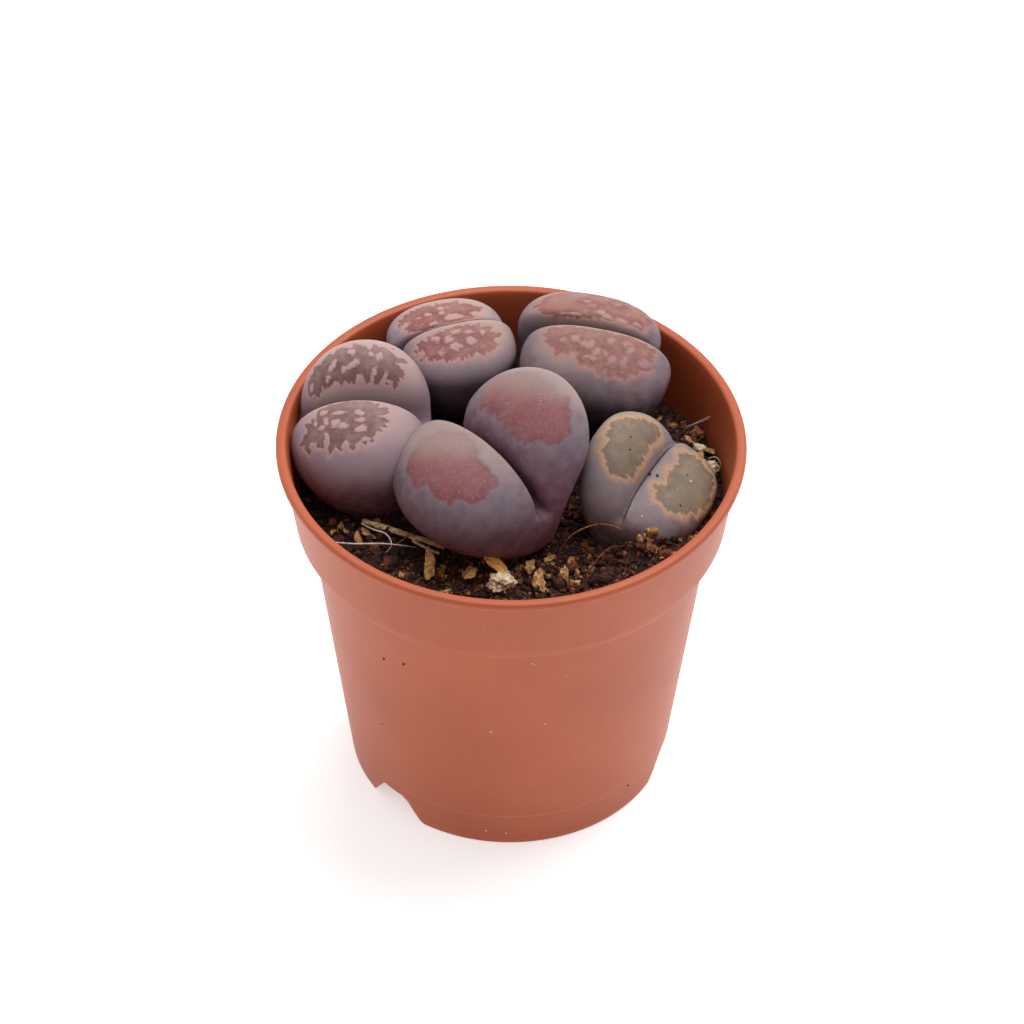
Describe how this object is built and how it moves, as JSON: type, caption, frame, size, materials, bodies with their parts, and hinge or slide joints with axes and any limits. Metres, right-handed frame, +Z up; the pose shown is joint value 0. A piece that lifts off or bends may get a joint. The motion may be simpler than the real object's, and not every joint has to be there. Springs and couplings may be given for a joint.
{
  "type": "potted lithops",
  "caption": "Round plastic nursery pot with a collar and rolled rim, filled with soil, holding low two-lobed stone-like succulents whose domed tops stand just above the rim.",
  "frame": {"origin": "centre of the underside of the pot's foot, on the pot's axis", "axes": "+Z up along the pot's axis, -Y towards the viewer of the picture, +X to the viewer's right"},
  "size_m": [0.055, 0.055, 0.0572],
  "materials": {
    "terracotta_plastic": "satin moulded polypropylene in terracotta brown, fine scuffs, faint turning lines",
    "potting_soil": "matt, moist, crumbly black-brown peat with rust-brown fibres",
    "lithops_left_skin": "matt waxy skin, lilac-grey, with dark brown windows and pinkish islands",
    "lithops_back_left_skin": "matt waxy skin, lilac-grey, with red-brown windows and raised pinkish islands",
    "lithops_back_right_skin": "matt waxy skin, lilac-grey, with rosy, embossed windows",
    "lithops_centre_skin": "smooth waxy skin, purple-grey, with rosy-pink cloudy windows",
    "lithops_right_skin": "matt waxy skin, greenish grey, with olive-grey windows edged in ochre",
    "straw": "dry fibrous straw, matt",
    "husk": "dry ochre husk, slightly glossy",
    "bark": "broken bark, matt, brown and yellow",
    "pale_crumb": "porous cream crumbs, matt"
  },
  "bodies": {
    "root": {"pot": "terracotta_plastic", "soil": "potting_soil", "lithops_left": "lithops_left_skin", "lithops_back_left": "lithops_back_left_skin", "lithops_back_right": "lithops_back_right_skin", "lithops_centre": "lithops_centre_skin", "lithops_right": "lithops_right_skin", "straw_front": "straw", "straw_back": "straw", "husk_front": "husk", "bark_upright": "bark", "bark_front": "bark", "bark_left": "bark", "bark_right": "bark", "perlite_front": "pale_crumb", "crumb_back": "pale_crumb", "crumb_right": "pale_crumb"}
  },
  "joints": []
}
